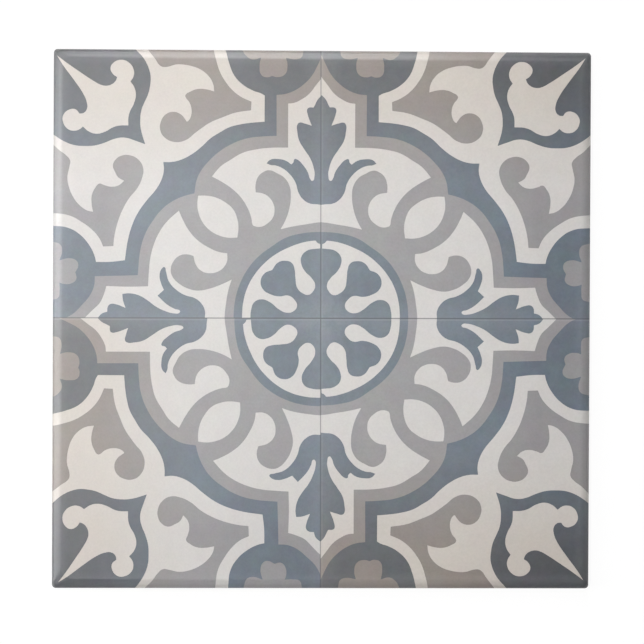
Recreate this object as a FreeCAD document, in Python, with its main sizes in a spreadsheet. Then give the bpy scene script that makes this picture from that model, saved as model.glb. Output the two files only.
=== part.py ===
"""Glazed ceramic wall tile, one pressed and fired piece, 6 in square.

The tile lies face up. Its face is flat, with a cushioned shoulder that rolls over on all four
sides into a small nose, straight sides, slightly rounded corners and a bevelled back edge. The
back is keyed for mortar with a grid of shallow square recesses that stand between low ribs.

Frame: the origin is the middle of the back, +Z points out of the glazed face, and +X and +Y run
along the sides. Millimetres throughout.
"""
import FreeCAD
import Part
import math
import os

import Sketcher
from FreeCAD import Vector

# Driving dimensions: alias, size in millimetres (or a count), what it is
DIMENSIONS = [
    ("tile_side", 152.4, "length of each side, 6 in"),
    ("tile_thickness", 6.4, "from the rib tops of the back to the face"),
    ("corner_radius", 1.1, "rounding of the outline's four corners"),
    ("shoulder_width", 2.8, "how far in from the side the face starts to roll over"),
    ("shoulder_drop", 1.5, "how far below the face the straight side begins"),
    ("nose_radius", 0.5, "rounding between the shoulder and the side"),
    ("back_bevel", 0.6, "chamfer between the sides and the back"),
    ("key_cells", 10, "recesses in each row and in each column of the back"),
    ("key_margin", 4.0, "plain border round the grid of recesses"),
    ("rib_width", 2.4, "width of the ribs between recesses"),
    ("key_depth", 0.4, "depth of the recesses"),
    ("key_corner_radius", 1.2, "rounding of each recess's corners"),
]
# Sizes that follow from them: alias, formula
DERIVED = [
    ("key_pitch", "=(tile_side - 2 * key_margin + rib_width) / key_cells"),
    ("key_side", "=key_pitch - rib_width"),
    ("key_first", "=key_margin - tile_side / 2"),
    ("key_span", "=key_pitch * (key_cells - 1)"),
]
SHEET_NAME = "sizes"
NODE_NAME = "tile"
SIDES = 4
# How far a cutting outline stands clear of the tile, in millimetres
CUT_CLEARANCE = 5.0

doc = FreeCAD.newDocument("wall_tile")
sheet = doc.addObject("Spreadsheet::Sheet", SHEET_NAME)


def fill_sheet():
    """Writes the named sizes, one row each: the name, the value and what it is."""
    rows = DIMENSIONS + [(alias, formula, "derived") for alias, formula in DERIVED]
    for row, (alias, value, meaning) in enumerate(rows, start=1):
        sheet.set(f"A{row}", alias)
        sheet.set(f"B{row}", str(value))
        sheet.set(f"C{row}", meaning)
        sheet.setAlias(f"B{row}", alias)
        doc.recompute()


def size(alias):
    return float(sheet.get(alias))


def origin_feature(body, role):
    return next(f for f in body.Origin.OriginFeatures if f.Role == role)


def sketch_on(body, name, role):
    """A new sketch on one of the body's own origin planes."""
    sketch = body.newObject("Sketcher::SketchObject", name)
    sketch.AttachmentSupport = (origin_feature(body, role), [""])
    sketch.MapMode = "FlatFace"
    return sketch


def constrain(sketch, kind, *places, name=None, formula=None):
    """Adds one constraint. A formula names it and ties it to the sheet."""
    index = sketch.addConstraint(Sketcher.Constraint(kind, *places))
    if formula:
        sketch.renameConstraint(index, name)
        sketch.setExpression(f"Constraints.{name}", formula.replace("$", f"{SHEET_NAME}."))
    return index


def line(sketch, start, end):
    return sketch.addGeometry(Part.LineSegment(Vector(*start, 0), Vector(*end, 0)), False)


def arc(sketch, centre, radius, start_degrees, end_degrees):
    circle = Part.Circle(Vector(*centre, 0), Vector(0, 0, 1), radius)
    ends = [math.radians(start_degrees), math.radians(end_degrees)]
    return sketch.addGeometry(Part.ArcOfCircle(circle, *ends), False)


# Places on a line or an arc, as the sketcher counts them
START, END, CENTRE = range(1, 4)
ORIGIN = (-1, 1)
X_AXIS, Y_AXIS = -1, -2


def rounded_square(sketch, centre, side, radius):
    """Four lines and four arcs, counter-clockwise from the bottom line, tangent all round.

    Returns the lines and the arcs. The caller ties the square's place and size.
    """
    cx, cy = centre
    half = side / 2
    reach = half - radius
    lines = [
        line(sketch, (cx - reach, cy - half), (cx + reach, cy - half)),
        line(sketch, (cx + half, cy - reach), (cx + half, cy + reach)),
        line(sketch, (cx + reach, cy + half), (cx - reach, cy + half)),
        line(sketch, (cx - half, cy + reach), (cx - half, cy - reach)),
    ]
    corners = [
        arc(sketch, (cx + reach, cy - reach), radius, 270, 360),
        arc(sketch, (cx + reach, cy + reach), radius, 0, 90),
        arc(sketch, (cx - reach, cy + reach), radius, 90, 180),
        arc(sketch, (cx - reach, cy - reach), radius, 180, 270),
    ]
    for k in range(SIDES):
        constrain(sketch, "Tangent", lines[k], END, corners[k], START)
        constrain(sketch, "Tangent", corners[k], END, lines[(k + 1) % SIDES], START)
    for k in range(1, SIDES):
        constrain(sketch, "Equal", corners[0], corners[k])
    constrain(sketch, "Horizontal", lines[0])
    constrain(sketch, "Vertical", lines[1])
    constrain(sketch, "Horizontal", lines[2])
    constrain(sketch, "Vertical", lines[3])
    return lines, corners


def pressed_blank(body):
    """The tile's outline in plan, raised to its full thickness."""
    sketch = sketch_on(body, "outline", "XY_Plane")
    lines, corners = rounded_square(
        sketch, (0, 0), size("tile_side"), size("corner_radius")
    )
    bottom, right, top, left = lines
    constrain(
        sketch, "Radius", corners[0], size("corner_radius"),
        name="corner", formula="$corner_radius",
    )
    constrain(
        sketch, "DistanceX", left, END, right, START, size("tile_side"),
        name="width", formula="$tile_side",
    )
    constrain(
        sketch, "DistanceY", bottom, END, top, START, size("tile_side"),
        name="depth", formula="$tile_side",
    )
    constrain(sketch, "Symmetric", left, END, right, END, *ORIGIN)
    pad = body.newObject("PartDesign::Pad", "blank")
    pad.Profile = sketch
    pad.setExpression("Length", f"{SHEET_NAME}.tile_thickness")
    sketch.Visibility = False
    return pad


def shoulder_radius():
    """Radius of the shoulder's arc: level with the face, and tangent to the nose."""
    width, drop, nose = (
        size(a) for a in ("shoulder_width", "shoulder_drop", "nose_radius")
    )
    return ((width - nose) ** 2 + drop**2 - nose**2) / (2 * (drop - nose))


def shoulder_waste(body):
    """What the press tool leaves off one side above: the area outside shoulder and nose."""
    sketch = sketch_on(body, "shoulder_section", "XZ_Plane")
    half, top = size("tile_side") / 2, size("tile_thickness")
    width, drop, nose = (
        size(a) for a in ("shoulder_width", "shoulder_drop", "nose_radius")
    )
    radius = shoulder_radius()
    start = half - width
    shoulder_centre = (start, top - radius)
    nose_centre = (half - nose, top - drop)
    rise = nose_centre[1] - shoulder_centre[1]
    meet = math.degrees(math.atan2(rise, nose_centre[0] - shoulder_centre[0]))
    far, high = half + CUT_CLEARANCE, top + CUT_CLEARANCE
    shoulder = arc(sketch, shoulder_centre, radius, meet, 90)
    tip = arc(sketch, nose_centre, nose, 0, meet)
    foot = line(sketch, (half, top - drop), (far, top - drop))
    outside = line(sketch, (far, top - drop), (far, high))
    above = line(sketch, (far, high), (start, high))
    inside = line(sketch, (start, high), (start, top))
    constrain(sketch, "Tangent", shoulder, START, tip, END)
    for first, second in ((foot, outside), (outside, above), (above, inside)):
        constrain(sketch, "Coincident", first, END, second, START)
    constrain(sketch, "Coincident", inside, END, shoulder, END)
    constrain(sketch, "Coincident", tip, START, foot, START)
    constrain(sketch, "Horizontal", foot)
    constrain(sketch, "Vertical", outside)
    constrain(sketch, "Horizontal", above)
    constrain(sketch, "Vertical", inside)
    # The shoulder is level where it meets the face, and the nose upright where it meets the side
    constrain(sketch, "PointOnObject", shoulder, CENTRE, inside)
    constrain(sketch, "PointOnObject", tip, CENTRE, foot)
    constrain(
        sketch, "Radius", tip, nose, name="nose", formula="$nose_radius",
    )
    constrain(
        sketch, "DistanceX", *ORIGIN, tip, START, half,
        name="side", formula="$tile_side / 2",
    )
    constrain(
        sketch, "DistanceX", shoulder, END, tip, START, width,
        name="width", formula="$shoulder_width",
    )
    constrain(
        sketch, "DistanceY", *ORIGIN, shoulder, END, top,
        name="face", formula="$tile_thickness",
    )
    constrain(
        sketch, "DistanceY", tip, START, shoulder, END, drop,
        name="drop", formula="$shoulder_drop",
    )
    constrain(sketch, "DistanceX", foot, START, foot, END, CUT_CLEARANCE)
    constrain(sketch, "DistanceY", inside, END, inside, START, CUT_CLEARANCE)
    return sketch


def bevel_waste(body):
    """The triangle that the bevel takes off one side's back edge."""
    sketch = sketch_on(body, "bevel_section", "XZ_Plane")
    half, bevel = size("tile_side") / 2, size("back_bevel")
    slope = line(sketch, (half - bevel, 0), (half, bevel))
    rise = line(sketch, (half, bevel), (half + CUT_CLEARANCE, bevel))
    outside = line(sketch, (half + CUT_CLEARANCE, bevel), (half + CUT_CLEARANCE, 0))
    base = line(sketch, (half + CUT_CLEARANCE, 0), (half - bevel, 0))
    ring = (slope, rise, outside, base)
    for k in range(len(ring)):
        constrain(sketch, "Coincident", ring[k], END, ring[(k + 1) % len(ring)], START)
    constrain(sketch, "Horizontal", rise)
    constrain(sketch, "Vertical", outside)
    constrain(sketch, "PointOnObject", base, START, X_AXIS)
    constrain(sketch, "PointOnObject", base, END, X_AXIS)
    constrain(sketch, "DistanceX", rise, START, rise, END, CUT_CLEARANCE)
    constrain(
        sketch, "DistanceX", *ORIGIN, slope, END, half,
        name="side", formula="$tile_side / 2",
    )
    constrain(
        sketch, "DistanceX", slope, START, slope, END, bevel,
        name="width", formula="$back_bevel",
    )
    constrain(
        sketch, "DistanceY", slope, START, slope, END, bevel,
        name="height", formula="$back_bevel",
    )
    return sketch


def cut_all_sides(body, name, sketch):
    """Cuts the section along one whole side, then repeats the cut on the other three."""
    cut = body.newObject("PartDesign::Pocket", f"{name}_cut")
    cut.Profile = sketch
    cut.Type = "ThroughAll"
    cut.Midplane = True
    sketch.Visibility = False
    doc.recompute()
    pattern = body.newObject("PartDesign::PolarPattern", f"{name}_on_all_sides")
    pattern.Originals = [cut]
    pattern.Axis = (origin_feature(body, "Z_Axis"), [""])
    pattern.Angle = 360
    pattern.Occurrences = SIDES
    body.Tip = pattern
    doc.recompute()
    return pattern


def key_recesses(body):
    """The mortar key: one shallow square recess in the back, repeated in rows and columns."""
    sketch = sketch_on(body, "key_cell", "XY_Plane")
    side, first = size("key_side"), size("key_first")
    middle = first + side / 2
    lines, corners = rounded_square(
        sketch, (middle, middle), side, size("key_corner_radius")
    )
    bottom, right, top, left = lines
    constrain(
        sketch, "Radius", corners[0], size("key_corner_radius"),
        name="corner", formula="$key_corner_radius",
    )
    constrain(
        sketch, "DistanceX", left, END, right, START, side,
        name="width", formula="$key_side",
    )
    constrain(
        sketch, "DistanceY", bottom, END, top, START, side,
        name="depth", formula="$key_side",
    )
    constrain(
        sketch, "DistanceX", left, END, *ORIGIN, -first,
        name="column", formula="-$key_first",
    )
    constrain(
        sketch, "DistanceY", bottom, START, *ORIGIN, -first,
        name="line", formula="-$key_first",
    )
    cell = body.newObject("PartDesign::Pocket", "key_recess")
    cell.Profile = sketch
    cell.Reversed = True
    cell.setExpression("Length", f"{SHEET_NAME}.key_depth")
    sketch.Visibility = False
    doc.recompute()
    grid = body.newObject("PartDesign::MultiTransform", "key_grid")
    grid.Originals = [cell]
    body.Tip = grid
    rows = []
    for name, axis in (("key_columns", "X_Axis"), ("key_rows", "Y_Axis")):
        run = body.newObject("PartDesign::LinearPattern", name)
        run.Direction = (origin_feature(body, axis), [""])
        run.setExpression("Length", f"{SHEET_NAME}.key_span")
        run.setExpression("Occurrences", f"{SHEET_NAME}.key_cells")
        rows.append(run)
    grid.Transformations = rows
    body.Tip = grid
    doc.recompute()
    return grid


def build_tile():
    body = doc.addObject("PartDesign::Body", NODE_NAME)
    body.Label = NODE_NAME
    pressed_blank(body)
    doc.recompute()
    cut_all_sides(body, "shoulder", shoulder_waste(body))
    cut_all_sides(body, "bevel", bevel_waste(body))
    key_recesses(body)
    return body


def check_document(body):
    """Stops on a failed feature, an invalid shape or anything but one solid."""
    for item in doc.Objects:
        if "Invalid" in item.State or "Error" in item.State:
            raise RuntimeError(f"{item.Name} failed: {item.State}")
    shape = body.Shape
    if shape.isNull() or not shape.isValid() or len(shape.Solids) != 1:
        raise RuntimeError(f"{body.Label} is not one valid solid")


def write_parts(body):
    os.makedirs("parts", exist_ok=True)
    body.Shape.exportStep(f"parts/{body.Label}.step")
    box = body.Shape.BoundBox
    print(
        f"{body.Label}: {box.XLength:.2f} x {box.YLength:.2f} x {box.ZLength:.2f} mm, "
        f"{len(body.Shape.Faces)} faces, {body.Shape.Volume / 1000:.2f} cm3"
    )


fill_sheet()
tile = build_tile()
doc.recompute()
check_document(tile)
write_parts(tile)
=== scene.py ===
# %% [markdown]
# # A printed and glazed wall tile
# The object is one pressed clay tile, about 152 mm square and 6.4 mm thick. A pattern of three
# inks lies under a clear satin glaze: four quarters with the same ornament, turned and mirrored,
# meet at two thin dark lines. The CAD model has the plain clay shape. This script keeps that
# shape and its place, and adds what makes the tile itself: the print, the glaze, the soft light.

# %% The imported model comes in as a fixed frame
import math

import bpy
import numpy as np
from mathutils import Euler, Matrix, Vector
from mathutils.geometry import delaunay_2d_cdt


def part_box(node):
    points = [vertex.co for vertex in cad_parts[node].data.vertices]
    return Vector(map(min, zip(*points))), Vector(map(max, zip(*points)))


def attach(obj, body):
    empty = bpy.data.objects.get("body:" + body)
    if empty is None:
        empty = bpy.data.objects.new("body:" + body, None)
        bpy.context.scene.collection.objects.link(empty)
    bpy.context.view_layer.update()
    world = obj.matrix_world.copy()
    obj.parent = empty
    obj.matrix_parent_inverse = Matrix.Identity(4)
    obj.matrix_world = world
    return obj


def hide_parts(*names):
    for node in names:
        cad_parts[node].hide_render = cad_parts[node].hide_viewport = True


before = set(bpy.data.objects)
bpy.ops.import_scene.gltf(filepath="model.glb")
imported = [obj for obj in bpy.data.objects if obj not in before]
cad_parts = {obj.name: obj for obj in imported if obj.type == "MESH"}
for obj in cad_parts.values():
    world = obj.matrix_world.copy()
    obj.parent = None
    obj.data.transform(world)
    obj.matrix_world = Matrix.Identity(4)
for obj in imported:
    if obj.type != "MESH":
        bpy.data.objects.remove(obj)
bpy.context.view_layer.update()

# %% [markdown]
# ## Sizes
# The clay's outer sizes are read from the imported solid, so the dressed tile can never drift away
# from it. The small sizes of its edge repeat the named values of the CAD source. They are in
# millimetres here, since a tile maker works in them, and MM turns them into metres at the end.

# %% The clay body's sizes
MM = 0.001
low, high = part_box("tile")
SIDE = (high.x - low.x) / MM
THICKNESS = (high.z - low.z) / MM
HALF = SIDE / 2
CORNER_RADIUS = 1.1
SHOULDER_WIDTH = 2.8
SHOULDER_DROP = 1.5
NOSE_RADIUS = 0.5
BACK_BEVEL = 0.6
KEY_CELLS = 10
KEY_MARGIN = 4.0
RIB_WIDTH = 2.4
KEY_DEPTH = 0.4
KEY_CORNER_RADIUS = 1.2
print(f"tile {SIDE:.1f} x {SIDE:.1f} x {THICKNESS:.1f} mm")

# %% [markdown]
# ## The camera
# The photograph looks straight down on the face from far off. Turning a camera by eye until four
# corners fit is slow. Instead the four corners are read in the photograph once, and a few steps
# of least squares move and turn the camera until it sees the tile's corners at those pixels.

# %% Where the photograph shows the tile's four corners
PHOTO_SIDE = 644
SENSOR = 36.0
LENS = 196.0
FOCAL_PIXELS = LENS / SENSOR * PHOTO_SIDE
CORNERS_IN_PHOTO = {
    (-1, 1): (54.15, 49.18),
    (1, 1): (591.28, 52.64),
    (-1, -1): (51.41, 588.11),
    (1, -1): (588.21, 588.05),
}
EDGE_HEIGHT = THICKNESS - SHOULDER_DROP


def pose_matrix(pose):
    turned = Euler(pose[3:6]).to_matrix().to_4x4()
    return Matrix.Translation(pose[0:3]) @ turned


def corner_errors(pose):
    """How far each corner is from its place in the photograph, in pixels."""
    to_camera = pose_matrix(pose).inverted()
    errors = []
    for (side_x, side_y), (pixel_x, pixel_y) in CORNERS_IN_PHOTO.items():
        corner = Vector((side_x * HALF, side_y * HALF, EDGE_HEIGHT)) * MM
        seen = to_camera @ corner
        errors.append(PHOTO_SIDE / 2 + FOCAL_PIXELS * seen.x / -seen.z - pixel_x)
        errors.append(PHOTO_SIDE / 2 - FOCAL_PIXELS * seen.y / -seen.z - pixel_y)
    return np.array(errors)


# %% Least squares moves the camera
FIT_STEPS = 12
PROBE = 0.001
pose = np.array([0.0, 0.0, 1.0, 0.0, 0.0, 0.0])
for step in range(FIT_STEPS):
    here = corner_errors(pose)
    slopes = []
    for axis in range(len(pose)):
        probe = pose.copy()
        probe[axis] += PROBE
        slopes.append((corner_errors(probe) - here) / PROBE)
    pose += np.linalg.lstsq(np.array(slopes).T, -here, rcond=None)[0]
print("camera at", pose[:3].round(4), "worst corner", abs(corner_errors(pose)).max().round(2), "px")


# %% The camera itself
def new_object(name, data):
    """An object made of this data, linked into the scene."""
    made = bpy.data.objects.new(name, data)
    bpy.context.collection.objects.link(made)
    return made


camera = new_object("camera", bpy.data.cameras.new("camera"))
camera.data.lens = LENS
camera.data.sensor_width = SENSOR
camera.matrix_world = pose_matrix(pose)
bpy.context.scene.camera = camera
bpy.context.scene.view_settings.view_transform = "Standard"

# %% [markdown]
# ## Helpers for node trees
# Materials and Geometry Nodes are both trees of nodes joined by links. One short helper makes a
# node, sets its options, and fills each input with a number, with an output of another node, or
# with a node, which stands for its first output. Two more make the nodes that do sums.


# %% Making one node
def add_node(tree, kind, inputs=None, **options):
    node = tree.nodes.new(kind)
    for name, value in options.items():
        setattr(node, name, value)
    for name, value in (inputs or {}).items():
        if isinstance(value, bpy.types.Node):
            value = value.outputs[0]
        if isinstance(value, bpy.types.NodeSocket):
            tree.links.new(value, node.inputs[name])
        else:
            node.inputs[name].default_value = value
    return node


def reckon(tree, operation, *values):
    return add_node(tree, "ShaderNodeMath", dict(enumerate(values)), operation=operation)


def reckon_vectors(tree, operation, *values):
    return add_node(tree, "ShaderNodeVectorMath", dict(enumerate(values)), operation=operation)


# %% Materials and colours
def new_material(name):
    """A node material whose tree is still empty."""
    material = bpy.data.materials.new(name)
    material.use_nodes = True
    material.node_tree.nodes.clear()
    return material


def tone(red, green, blue):
    """A colour as a paint card gives it, 0 to 255, made linear light by the sRGB curve."""
    parts = np.array([red, green, blue]) / 255
    linear = np.where(parts <= 0.04045, parts / 12.92, ((parts + 0.055) / 1.055) ** 2.4)
    return (*linear.tolist(), 1.0)


# %% [markdown]
# ## The floor
# The tile lies on a white sweep. Lamps strong enough to turn it white would bleach the tile too.
# So the sweep shows itself white to the camera through Light Path, and keeps a little of its real
# shading for the tile's soft shadow. Under the tile it has a window, a little smaller than the
# tile, so that the back can be looked at too.

# %% A ring of four faces round the window
FLOOR_SIZE = 3.0
WINDOW_INSET = 1.2
SHOWN_WHITE = 0.9
WHITE_STRENGTH = 1.03
PAPER = (0.9, 0.9, 0.9, 1)
WHITE = (1, 1, 1, 1)
floor_points = [
    (side_x * reach, side_y * reach, 0)
    for reach in (FLOOR_SIZE / 2, (HALF - WINDOW_INSET) * MM)
    for side_x, side_y in ((-1, -1), (1, -1), (1, 1), (-1, 1))
]
floor_faces = [(side, (side + 1) % 4, (side + 1) % 4 + 4, side + 4) for side in range(4)]
floor = new_object("floor", bpy.data.meshes.new("floor"))
floor.data.from_pydata(floor_points, [], floor_faces)

# %% White to the camera, paper to the light
sweep = new_material("white sweep")
tree = sweep.node_tree
rays = add_node(tree, "ShaderNodeLightPath").outputs
seen = reckon(tree, "MAXIMUM", rays["Is Camera Ray"], rays["Is Glossy Ray"])
seen = reckon(tree, "MAXIMUM", seen, rays["Is Transmission Ray"])
share = reckon(tree, "MULTIPLY", seen, SHOWN_WHITE)
paper = add_node(tree, "ShaderNodeBsdfDiffuse", {"Color": PAPER})
white = add_node(tree, "ShaderNodeEmission", {"Color": WHITE, "Strength": WHITE_STRENGTH})
mixed = add_node(tree, "ShaderNodeMixShader", {0: share, 1: paper, 2: white})
add_node(tree, "ShaderNodeOutputMaterial", {"Surface": mixed})
floor.data.materials.append(sweep)
print("floor", FLOOR_SIZE, "m, its window", round(2 * (HALF - WINDOW_INSET), 1), "mm")

# %% [markdown]
# ## The light
# The photograph shows its lamps only as bands on the rolled edge, bright and broad at the left
# and the far side, duller at the others. So a strip box stands at each of the first two, a large
# soft box hangs overhead, and weak cards fill the other two. The glaze would still mirror a dark
# room in its corners, where four cards shine that only gloss can see. One more box lights the
# back through the floor's window, and the room adds an even, weak light.


# %% The soft boxes and the cards
def soft_box(name, from_top, bearing, distance, size, radiance):
    """A lamp of this radiance that faces the tile. A bearing of 180 degrees is the left."""
    lean, around = math.radians(from_top), math.radians(bearing)
    lamp = bpy.data.lights.new(name, "AREA")
    lamp.shape = "RECTANGLE"
    lamp.size, lamp.size_y = size
    lamp.energy = radiance * math.pi * size[0] * size[1]
    box = new_object(name, lamp)
    box.location = distance * Vector((
        math.sin(lean) * math.cos(around),
        math.sin(lean) * math.sin(around),
        math.cos(lean),
    ))
    box.rotation_euler = box.location.to_track_quat("Z", "Y").to_euler()
    box.visible_camera = False
    return box


# degrees from the top, bearing, distance, width and height, radiance
BOXES = {
    "left strip box": (54.2, 181.5, 0.644, (0.275, 0.608), 5.6),
    "far strip box": (47.2, 92.1, 0.566, (0.18, 0.598), 5.55),
    "overhead box": (13.5, 164.8, 2.5, (0.933, 1.103), 5.05),
    "right card": (76.0, 0.0, 1.0, (0.35, 1.2), 0.6),
    "near card": (70.0, 267.5, 1.0, (0.25, 1.5), 0.8),
    "corner card, far right": (52.0, 45.0, 0.62, (0.3, 0.55), 1.3),
    "corner card, far left": (52.0, 135.0, 0.62, (0.6, 0.55), 3.3),
    "corner card, near left": (52.0, 225.0, 0.62, (0.3, 0.55), 1.4),
    "corner card, near right": (52.0, 315.0, 0.62, (0.3, 0.55), 0.5),
    "box under the window": (128.0, 200.0, 0.8, (0.3, 0.3), 26.0),
}
for name, values in BOXES.items():
    soft_box(name, *values).visible_diffuse = not name.startswith("corner card")
print(len(BOXES), "lamps")

# %% The room: weak light, but white where the camera looks into it
ROOM_LIGHT = 0.085
world = bpy.data.worlds.new("room")
world.use_nodes = True
tree = world.node_tree
rays = add_node(tree, "ShaderNodeLightPath").outputs
shown = add_node(
    tree,
    "ShaderNodeMapRange",
    {"Value": rays["Is Camera Ray"], "To Min": ROOM_LIGHT, "To Max": 1.0},
)
room = tree.nodes["Background"]
room.inputs["Color"].default_value = WHITE
tree.links.new(shown.outputs["Result"], room.inputs["Strength"])
bpy.context.scene.world = world
print("room light", ROOM_LIGHT)

# %% [markdown]
# ## The ornament, one quarter of it
# The drawing is a traditional one, as on many old cement tiles: a corner bud, leaf fields, a
# lobed band, scrolls, a tulip and a wheel. It could be an image, but outlines stay sharp at any
# distance, so it is kept the way a stencil cutter keeps it. u runs from the crossing of the dark
# lines outwards, v the same way up, in millimetres. Each outline is laid over the one before it.
# A third value of 1 marks a sharp corner; a Bezier curve passes smoothly through the others.

# %% The three inks and the clay, whose materials are filled in later
CREAM, GREY, SLATE, CLAY = range(4)
# each ink's tone, and its share of the print's mottling
INKS = {
    "cream ink": ((208.3, 205.3, 202.4), 0.32),
    "warm grey ink": ((154.3, 152.7, 153.7), 0.6),
    "slate blue ink": ((116.7, 125.5, 134.5), 1.0),
}
MATERIALS = [new_material(name) for name in (*INKS, "bare clay")]
OUTLINES = {}


def stencil(ink, name, points):
    OUTLINES[name] = ink, points


# %% Corner bud, and the leaf fields beside it
stencil(SLATE, "corner field", [
    (54.0, 77.5, 1), (52.6, 75.7), (50.9, 73.85), (49.73, 72.0), (48.9, 69.9), (48.55, 68.0),
    (48.7, 65.8), (49.2, 63.45), (50.28, 60.95), (51.08, 58.95), (51.45, 56.3), (51.28, 53.4),
    (50.05, 49.1, 1), (53.0, 50.14), (55.0, 50.8), (56.9, 50.95), (58.95, 50.5), (61.55, 49.45),
    (64.15, 48.7), (67.1, 48.5), (70.05, 48.75), (72.68, 49.68), (74.9, 51.0), (76.85, 52.55),
    (78.0, 53.9, 1), (78, 78, 1),
])
stencil(CREAM, "bud", [
    (75.0, 74.05, 1), (72.15, 71.9), (68.2, 69.2), (64.67, 66.9), (62.7, 65.85), (61.2, 65.55),
    (59.6, 65.95), (58.45, 66.95), (58.02, 68.0, 1), (59.3, 69.0), (59.9, 70.6), (59.1, 72.05),
    (57.0, 72.9), (54.85, 72.25), (53.38, 70.2), (53.4, 68.25), (54.25, 66.8, 1), (53.17, 65.15),
    (52.73, 63.0), (53.28, 60.55), (54.38, 58.3), (54.77, 56.85), (54.83, 54.4, 1), (57.6, 54.28),
    (59.32, 53.73), (61.35, 52.58), (63.9, 52.0), (66.1, 52.7), (67.6, 54.0, 1), (68.8, 53.1),
    (70.1, 52.8), (71.88, 53.3), (73.22, 55.25), (73.1, 57.35), (71.3, 58.83), (69.65, 58.8),
    (68.6, 57.65, 1), (67.45, 57.85), (66.5, 59.05), (66.6, 61.0), (67.55, 63.25), (70.12, 67.05),
    (73.42, 71.5),
])
stencil(GREY, "upper leaf field", [
    (50.6, 77.5, 1), (49.1, 75.5), (47.3, 73.2), (46.2, 71.6), (45.3, 71.02), (43.75, 71.03),
    (41.55, 71.65), (39.7, 71.7), (37.1, 71.28), (34.55, 70.35), (32.3, 68.6), (30.92, 66.25),
    (30.6, 64.15, 1), (33.0, 64.75), (35.2, 64.8), (37.35, 64.05), (38.75, 63.0), (38.65, 62.4),
    (37.6, 61.0), (36.98, 58.9), (37.27, 56.77), (37.9, 55.8), (38.3, 55.6), (38.62, 56.02),
    (40.0, 57.6), (42.0, 58.3), (44.2, 57.63), (45.6, 55.65), (45.8, 53.1), (44.4, 50.9),
    (41.4, 49.75), (38.3, 50.5), (35.95, 52.38), (34.45, 53.5), (31.87, 55.25), (28.33, 56.8),
    (24.55, 58.18), (20.15, 58.87, 1), (20.05, 61.33, 1), (22.93, 62.63), (25.5, 64.6),
    (27.58, 67.17), (29.0, 69.7), (30.08, 73.03), (30.75, 76.0), (30.9, 77.5, 1),
])
stencil(GREY, "side leaf field", [
    (78, 51, 1), (75.98, 48.93), (74.28, 47.32), (72.48, 46.0), (71.2, 44.4), (71.38, 42.7),
    (71.95, 39.82), (71.5, 36.9), (70.3, 34.1), (68.5, 31.8), (66.3, 30.3), (64.7, 29.95, 1),
    (65.1, 32.3), (65.0, 34.8), (64.0, 36.87), (62.95, 37.92), (61.6, 37.5), (59.6, 37.05),
    (57.5, 37.45), (55.95, 38.75, 1), (57.6, 39.7), (58.42, 41.03), (59.13, 43.1), (58.25, 44.87),
    (56.57, 45.88), (54.3, 45.95), (52.0, 44.8), (50.58, 42.33), (50.88, 39.57), (52.27, 36.6),
    (54.45, 33.92), (56.15, 31.0), (57.6, 27.4), (58.65, 23.03), (58.92, 20.27, 1),
    (61.8, 20.15, 1), (62.9, 22.5), (65.05, 24.97), (68.0, 27.13), (71.2, 28.8), (75.9, 29.55),
    (78, 29.7, 1),
])
print(len(OUTLINES), "outlines so far")

# %% [markdown]
# The lobed band is a slate shape with a grey lining laid over it, and cream grounds over that.
# What is left of each shows as a band of even width. This is how layered stencils work, and it
# needs far fewer points than drawing both edges of every band.

# %% Lobed band and its lining
stencil(SLATE, "lobed band", [
    (27.9, 78, 1), (27.3, 75.6), (26.38, 72.1), (25.0, 68.8), (22.63, 66.22), (19.45, 64.38),
    (17.4, 63.7), (16.3, 63.1, 1), (16.32, 55.67, 1), (20.0, 55.36), (23.3, 54.85), (26.3, 54.03),
    (28.93, 52.58), (31.57, 50.89), (34.2, 48.4), (36.95, 46.3), (40.0, 44.75), (42.5, 44.15),
    (44.9, 44.1, 1), (44.75, 41.8), (45.3, 39.4), (46.72, 36.68), (49.55, 33.22), (51.77, 30.15),
    (53.47, 26.67), (54.8, 22.1), (55.66, 16.29, 1), (60.0, 15.81), (63.78, 15.76, 1),
    (64.22, 17.53), (65.5, 20.18), (68.27, 23.42), (71.6, 25.35), (75.8, 25.9), (78, 25.9, 1),
    (78, -2, 1), (-2, -2, 1), (-2, 78, 1),
])
stencil(GREY, "lining of the band", [
    (-2, 78, 1), (0.2, 74.2), (1.36, 71.72), (2.9, 68.88), (5.02, 66.55), (7.65, 64.67),
    (10.25, 63.62), (12.95, 63.25, 1), (12.9, 51.7, 1), (16.92, 51.5), (21.45, 50.88),
    (26.05, 49.08), (29.59, 46.76), (32.1, 44.4), (34.05, 42.0), (35.42, 39.23), (36.1, 35.3, 1),
    (38.8, 34.6), (42.0, 33.2), (45.0, 31.0), (47.64, 27.76), (50.0, 23.65), (51.3, 19.2),
    (52.0, 12.1, 1), (58.0, 11.9), (64.12, 11.75, 1), (64.3, 9.2), (65.37, 6.55), (67.68, 3.68),
    (70.45, 0.97), (73.5, -0.5), (78, -2, 1), (-2, -2, 1),
])
stencil(CREAM, "upper ground", [
    (-2, 71, 1), (1.78, 66.1), (3.75, 63.6), (6.05, 61.95), (7.95, 61.07), (9.65, 60.85, 1),
    (9.63, 48.4, 1), (15.0, 48.28), (19.18, 47.73), (22.55, 46.8), (25.98, 44.79), (28.68, 42.97),
    (31.15, 40.1, 1), (27.85, 38.3), (24.9, 36.22), (22.6, 33.8), (20.9, 31.0), (19.9, 28.2),
    (19.5, 26.4), (18.87, 26.05), (17.2, 25.95), (15.37, 26.9), (13.9, 28.5), (13.4, 30.6),
    (13.77, 32.55), (15.13, 34.45), (16.63, 35.33), (18.75, 35.7, 1), (18.8, 37.8), (18.0, 40.2),
    (16.53, 41.48), (14.9, 41.95), (12.6, 41.05), (10.7, 39.9), (9.2, 37.6), (8.8, 34.8),
    (9.2, 31.2), (10.33, 27.75), (11.65, 25.27, 1), (8.52, 26.0), (4.43, 26.7), (0.33, 27.3),
    (-2.0, 27.25, 1),
])
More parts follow.
